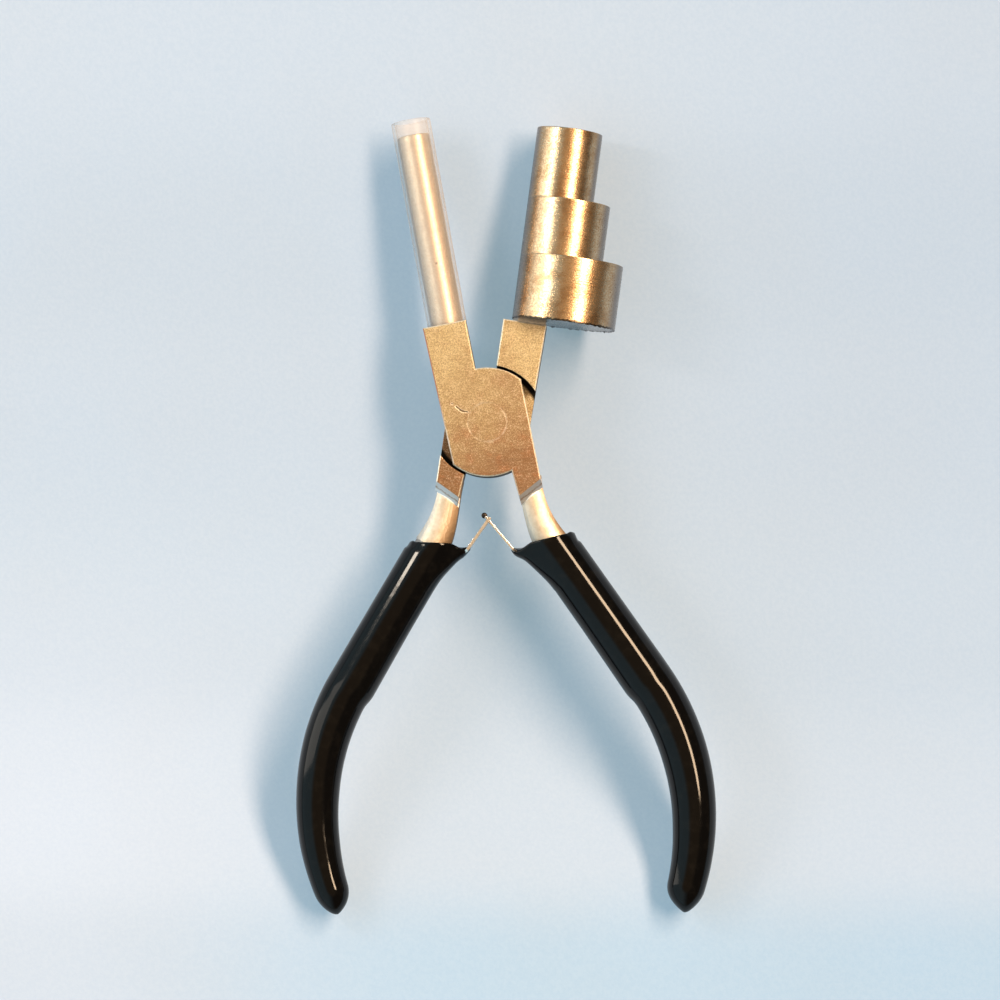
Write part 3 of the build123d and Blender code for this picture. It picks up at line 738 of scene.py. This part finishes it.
def grip_section(side, s, first):
    """The skin's section at length s: level at the mouth (length first), square to the handle 7 mm on."""
    centre, along = handle_point(side, s)
    outward = np.array((-along[1], along[0]))
    square = smooth01((s - first) / 7.0)
    axis = outward * square + np.array((1.0, 0.0)) * (1 - square)
    axis /= np.hypot(*axis)
    inner, outer = half_widths(side, s)
    centre = centre + axis * (outer - inner) / 2
    radius = (inner + outer) / 2
    stretch = 1 / (axis @ outward)
    # how far the lip stands out towards the other handle, along this section's own axis
    edge = LIP_ROOT - LIP_TIP
    across = np.array((-edge[1], edge[0]))
    facing = -axis @ across
    reach = ((LIP_TIP - centre) @ across) / facing if abs(facing) > 1e-6 else 0.0
    point = centre - axis * reach
    if point[1] > LIP_TIP[1]:
        reach = (centre[0] - LIP_TIP[0]) / axis[0]
    if point[1] < LIP_ROOT[1] - 4 or reach < 0:
        reach = 0.0
    out = []
    for k in range(GRIP_AROUND):
        a = 2 * math.pi * k / GRIP_AROUND
        ca, sa = math.cos(a), math.sin(a)
        rho = radius
        if ca < 0 and reach > radius * stretch * 0.6:
            tongue = ((abs(ca) * stretch / reach) ** 3.2 + (abs(sa) / LIP_HALF_WIDTH) ** 3.2) ** (-1 / 3.2)
            rho = (radius ** 9 + max(tongue, 0.0) ** 9) ** (1 / 9)
            rho = radius + (rho - radius) * smooth01((reach / (radius * stretch) - 0.6) / 0.5)
        x, y = centre + axis * rho * ca * stretch
        out.append(np.array((x, y, MID_Z + rho * sa)))
    return out


def grip_rings(side):
    mouth = handle_length(side, 1)
    while handle_point(side, mouth)[0][1] > GRIP_MOUTH:
        mouth += 0.02
    tip = side["grip_end"] - TIP_LENGTH
    stops = list(np.arange(mouth, mouth + 9.0, 0.32)) + list(np.arange(mouth + 9.0, tip, 0.6))
    rings = []
    for s in stops:
        ring = grip_section(side, s, mouth)
        for p in ring:
            p[1] += (mouth_edge(side, p[0]) - GRIP_MOUTH) * (1 - smooth01((s - mouth) / 3.0))
        rings.append(ring)
    # the closed end narrows to a blunt point that leans away from the other handle
    for t in np.linspace(0.0, 1.0, 17):
        a = t * math.pi / 2
        s = tip + TIP_LENGTH * math.sin(a)
        spot, along = handle_point(side, s)
        outward = np.array((-along[1], along[0]))
        inner, outer = half_widths(side, s)
        radius = max((inner + outer) / 2 * abs(math.cos(a)) ** TIP_SHARPNESS, 0.02)
        spot = spot + outward * ((outer - inner) / 2 + side["tip_drift"] * math.sin(a) ** 4)
        rings.append([np.array((*(spot + outward * radius * math.cos(b)), MID_Z + radius * math.sin(b)))
                      for b in (2 * math.pi * k / GRIP_AROUND for k in range(GRIP_AROUND))])
    # mouth: a rounded rim, then in to the shank and down beside it
    rim = rings[0]
    hole_centre = handle_point(side, mouth)[0]
    inward = []
    for share, lift in MOUTH_STEPS:
        ring = []
        for k, p in enumerate(rim):
            a = 2 * math.pi * k / GRIP_AROUND
            x, z = hole_centre[0] + MOUTH_HOLE[0] * math.cos(a), MID_Z + MOUTH_HOLE[1] * math.sin(a)
            hole = np.array((x, mouth_edge(side, x), z))
            q = hole + (p - hole) * share
            q[1] = mouth_edge(side, q[0]) * (1 - share) + q[1] * share + lift
            ring.append(q)
        inward.append(ring)
    return list(reversed(inward)) + rings


def grip(side, name, body, replaced):
    obj = object_from(name, rings_to_mesh(placed(grip_rings(side), side["place"])), vinyl)
    return show(obj, body, "black_vinyl", replaced)


grip(FRONT, "right_grip_dip", "front", "right_grip")
grip(BACK, "left_grip_dip", "back", "left_grip")

# ---------------------------------------------------------------- leaf spring

LEAF_THICKNESS = 0.55
LEAF_HALF_WIDTH = 2.7
LEAF_TUCK = 4.0             # of strip inside the grip's lip
LEAF_ROOT_SHARE = 0.62      # of the leaf's width, inside the lip
LEAF_ROOT = (3.1, -2.9)     # from the hinge, inside the lip
FORK_DEPTH = 2.0
FORK_HALF_SLOT = 1.25
TONGUE_HALF_WIDTH = 1.0
# The neighbour across each side of a grid cell, and the two corners of that side.
CELL_SIDES = {(0, -1): ((0, 0), (1, 0)), (1, 0): ((1, 0), (1, 1)),
              (0, 1): ((1, 1), (0, 1)), (-1, 0): ((0, 1), (0, 0))}


def leaf_strip(name, side, hinge, apex, past, tongue, replaced):
    """One strip from inside the lip to just past the apex, with a tongue or a fork at its end."""
    hinge_at = side["place"](*hinge)
    root_at = side["place"](hinge[0] + LEAF_ROOT[0], hinge[1] + LEAF_ROOT[1])
    tip_at = Vector((apex[0] * MM, apex[1] * MM, MID_Z * MM))
    run = (tip_at - hinge_at).length / MM
    lower, upper = (hinge_at - root_at).normalized(), (tip_at - hinge_at).normalized()
    us = list(np.arange(-LEAF_TUCK, run - FORK_DEPTH, 0.4))
    us += [run - FORK_DEPTH + d for d in (0, 0.15, 0.8, 1.4, 2.0)] + [run + past * 0.6, run + past]
    vs = [-LEAF_HALF_WIDTH, -FORK_HALF_SLOT, -TONGUE_HALF_WIDTH,
          TONGUE_HALF_WIDTH, FORK_HALF_SLOT, LEAF_HALF_WIDTH]
    bm = bmesh.new()
    grid = {}

    def vert(i, j, face):
        key = (i, j, face)
        if key not in grid:
            u = us[i]
            turn = smooth01((u + 1.2) / 2.4)
            along = (lower * (1 - turn) + upper * turn).normalized()
            square = Vector((-along.y, along.x, 0))
            spot = hinge_at + (upper if u > 0 else lower) * (u * MM)
            spot += square * ((LEAF_THICKNESS / 2) * MM * (1 if face else -1))
            width = LEAF_ROOT_SHARE + (1 - LEAF_ROOT_SHARE) * smooth01((u + 0.9) / 1.0)
            grid[key] = bm.verts.new((spot.x, spot.y, (MID_Z + vs[j] * width) * MM))
        return grid[key]

    kept = set()
    for i in range(len(us) - 1):
        for j in range(5):
            at_end = us[i] >= run - FORK_DEPTH - 1e-6
            if at_end and (j != 2 if tongue else j in (1, 2, 3)):
                continue
            kept.add((i, j))
    for i, j in kept:
        for face in (0, 1):
            corner = [vert(i, j, face), vert(i + 1, j, face), vert(i + 1, j + 1, face), vert(i, j + 1, face)]
            bm.faces.new(corner if face else corner[::-1])
        for (di, dj), (a, b) in CELL_SIDES.items():
            if (i + di, j + dj) not in kept:
                ends = [(i + a[0], j + a[1]), (i + b[0], j + b[1])]
                wall = [vert(*ends[0], 0), vert(*ends[1], 0), vert(*ends[1], 1), vert(*ends[0], 1)]
                bm.faces.new(wall)
    obj = object_from(name, bm, spring_steel)
    obj.data.set_sharp_from_angle(angle=math.radians(60))
    bevel = obj.modifiers.new("worn_edges", "BEVEL")
    bevel.width = 0.14 * MM
    bevel.segments = 3
    bevel.limit_method = "ANGLE"
    bevel.angle_limit = math.radians(50)
    bevel.harden_normals = True
    settle(obj)
    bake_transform(obj)
    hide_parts(*replaced)
    return obj


APEX = (0.15, -18.75)
FRONT_HINGE = (0.15, -25.0)
BACK_HINGE = (0.35, -25.0)
leaf_strip("right_leaf_strip", FRONT, FRONT_HINGE, APEX, 0.95, True,
           ("right_spring_root", "right_spring_leaf"))
leaf_strip("left_leaf_strip", BACK, BACK_HINGE, APEX, 0.6, False,
           ("left_spring_root", "left_spring_leaf"))


def spring_bead():
    """The dark rolled end of the tongue, between the arms of the fork."""
    hinge = place_front(*FRONT_HINGE)
    apex = Vector((APEX[0] * MM, APEX[1] * MM, MID_Z * MM))
    centre = apex + (apex - hinge).normalized() * 1.15 * MM
    profile = [(0.01, -0.98), (0.42, -0.98), (0.56, -0.84), (0.56, 0.84), (0.42, 0.98), (0.01, 0.98)]
    turns = [2 * math.pi * k / 28 for k in range(28)]
    rings = [[centre + Vector((r * math.cos(a), r * math.sin(a), h)) * MM for a in turns] for r, h in profile]
    return object_from("spring_bead", rings_to_mesh(rings), bead_steel)


show(spring_bead(), "right_leaf", "spring_steel")

# ---------------------------------------------------------------- floor, lights, camera

def look(obj, back, up=(0, 1, 0)):
    """Turn an object so that its -Z faces away from back and its Y stays as near up as it can."""
    z_axis = Vector(back).normalized()
    x_axis = Vector(up).cross(z_axis).normalized()
    y_axis = z_axis.cross(x_axis)
    obj.rotation_mode = "QUATERNION"
    obj.rotation_quaternion = Matrix((x_axis, y_axis, z_axis)).transposed().to_quaternion()


def softbox(name, direction, distance, size, power, colour, aim=(0.0024, -0.015, 0.005), up=(0, 1, 0)):
    """An area light at a distance from what it is aimed at; size is (across, along up)."""
    light = bpy.data.lights.new(name, "AREA")
    light.shape = "RECTANGLE"
    light.size, light.size_y = size
    light.energy = power
    light.color = colour
    lamp = bpy.data.objects.new(name, light)
    SCENE.collection.objects.link(lamp)
    target = Vector(aim)
    lamp.location = target + Vector(direction).normalized() * distance
    look(lamp, lamp.location - target, up)
    lamp.visible_camera = False
    return lamp


def from_vertical(angle, bearing):
    """A direction so many degrees off vertical, towards a bearing counted from +X to +Y."""
    a, b = math.radians(angle), math.radians(bearing)
    return (math.sin(a) * math.cos(b), math.sin(a) * math.sin(b), math.cos(a))


# A warm lamp from the upper right throws the shadows, a broad weak light fills the left sides, and
# a small window is mirrored along the top of the left grip.
LAMP_COLOUR = (1.0, 0.72, 0.47)
GRIP_TOP = (-0.0136, -0.0249, 0.008)
GRIP_RUN = (math.sin(math.radians(30)), math.cos(math.radians(30)), 0)
softbox("key", from_vertical(38, 34), 3.2, (0.56, 2.70), 232, LAMP_COLOUR)
softbox("left", from_vertical(65, 169), 1.6, (1.40, 0.50), 5.6, (1.0, 0.88, 0.76))
softbox("window", from_vertical(50, 150), 0.35, (0.10, 0.020), 0.31, (1.0, 0.87, 0.72),
        aim=GRIP_TOP, up=GRIP_RUN)

world = bpy.data.worlds.new("studio")
world.use_nodes = True
SCENE.world = world
sky = world.node_tree


def sky_node(kind, **settings):
    made = sky.nodes.new(kind)
    for key, value in settings.items():
        setattr(made, key, value)
    return made


def sky_span(socket, low, high):
    made = sky_node("ShaderNodeMapRange", interpolation_type="SMOOTHSTEP")
    sky.links.new(socket, made.inputs["Value"])
    made.inputs["From Min"].default_value = low
    made.inputs["From Max"].default_value = high
    return made.outputs["Result"]


def sky_mix(factor, a, b):
    made = sky_node("ShaderNodeMix", data_type="RGBA")
    sky.links.new(factor, made.inputs["Factor"])
    for key, value in (("A", a), ("B", b)):
        if isinstance(value, bpy.types.NodeSocket):
            sky.links.new(value, made.inputs[key])
        else:
            made.inputs[key].default_value = (*value, 1)
    return made.outputs["Result"]


# What the metal mirrors: warm overhead, dark to the right, blue-white to the left and on the horizon.
ZENITH = (0.58, 0.39, 0.22)
ROOM_RIGHT = (0.17, 0.13, 0.09)
ROOM_LEFT = (0.72, 1.02, 1.14)
HORIZON = (0.34, 0.46, 0.52)
direction = sky_node("ShaderNodeSeparateXYZ")
sky.links.new(sky_node("ShaderNodeTexCoord").outputs["Generated"], direction.inputs[0])
room = sky_mix(sky_span(direction.outputs["X"], 0.25, -0.45), ROOM_RIGHT, ROOM_LEFT)
room = sky_mix(sky_span(direction.outputs["Z"], 0.80, 0.96), room, ZENITH)
room = sky_mix(sky_span(direction.outputs["Z"], 0.14, 0.0), room, HORIZON)
sky.links.new(room, sky.nodes["Background"].inputs["Color"])
sky.nodes["Background"].inputs["Strength"].default_value = 0.9

# The tool rests on the three steps of its barrel and on the tips of its grips; between them
# the paper hangs clear of it.  (Distance along the tool, height), in millimetres.
grip_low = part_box("left_grip")[0].z / MM
barrel_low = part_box("stepped_mandrel")[0].z / MM
PAPER_LINE = [(-95, grip_low + 0.3), (-88, grip_low + 0.1),
              (-76, -8.5), (-58, -13.0), (-30, -11.0), (0, -9.0),
              (20, barrel_low - 2.6), (31, barrel_low - 0.8), (43, barrel_low + 1.2),
              (56, barrel_low + 3.2), (70, barrel_low + 3.6)]
PAPER_STIFFNESS = 15        # the length over which the line is rounded off
FLOOR_REACH = 3.0

fine = np.linspace(-140, 110, 251)
line = np.interp(fine, *zip(*PAPER_LINE))
softening = np.hanning(2 * PAPER_STIFFNESS + 1)
line = np.convolve(np.pad(line, PAPER_STIFFNESS, mode="edge"), softening, "valid") / PAPER_STIFFNESS


def floor_height(y):
    return float(np.interp(y / MM, fine, line)) * MM


rows = [-FLOOR_REACH, -0.5, *np.linspace(-0.12, 0.09, 150), 0.5, FLOOR_REACH]
corners = [(x, float(y), floor_height(float(y))) for y in rows for x in (-FLOOR_REACH, FLOOR_REACH)]
strips = [(2 * i, 2 * i + 1, 2 * i + 3, 2 * i + 2) for i in range(len(rows) - 1)]
floor_mesh = bpy.data.meshes.new("floor")
floor_mesh.from_pydata(corners, [], strips)
floor_mesh.polygons.foreach_set("use_smooth", [True] * len(strips))
floor_mesh.materials.append(blue_paper("blue_paper"))
floor = bpy.data.objects.new("floor", floor_mesh)
SCENE.collection.objects.link(floor)

# The photograph looks straight down on the tool, from slightly towards the handles.
VIEW_WIDTH = 0.19305
VIEW_DISTANCE = 0.775
VIEW_TARGET = Vector((0.00241, -0.01486, 0.0047))
VIEW_PITCH = math.radians(1.6)
VIEW_YAW = math.radians(1.0)
camera = bpy.data.objects.new("camera", bpy.data.cameras.new("camera"))
SCENE.collection.objects.link(camera)
camera.data.sensor_width = 36.0
camera.data.lens = 36.0 * VIEW_DISTANCE / VIEW_WIDTH
camera.data.clip_start = 0.05
camera.data.clip_end = 20
back = Vector((math.sin(VIEW_YAW), -math.sin(VIEW_PITCH), 1)).normalized()
camera.location = VIEW_TARGET + back * VIEW_DISTANCE
look(camera, back)
SCENE.camera = camera
SCENE.view_settings.view_transform = "Standard"
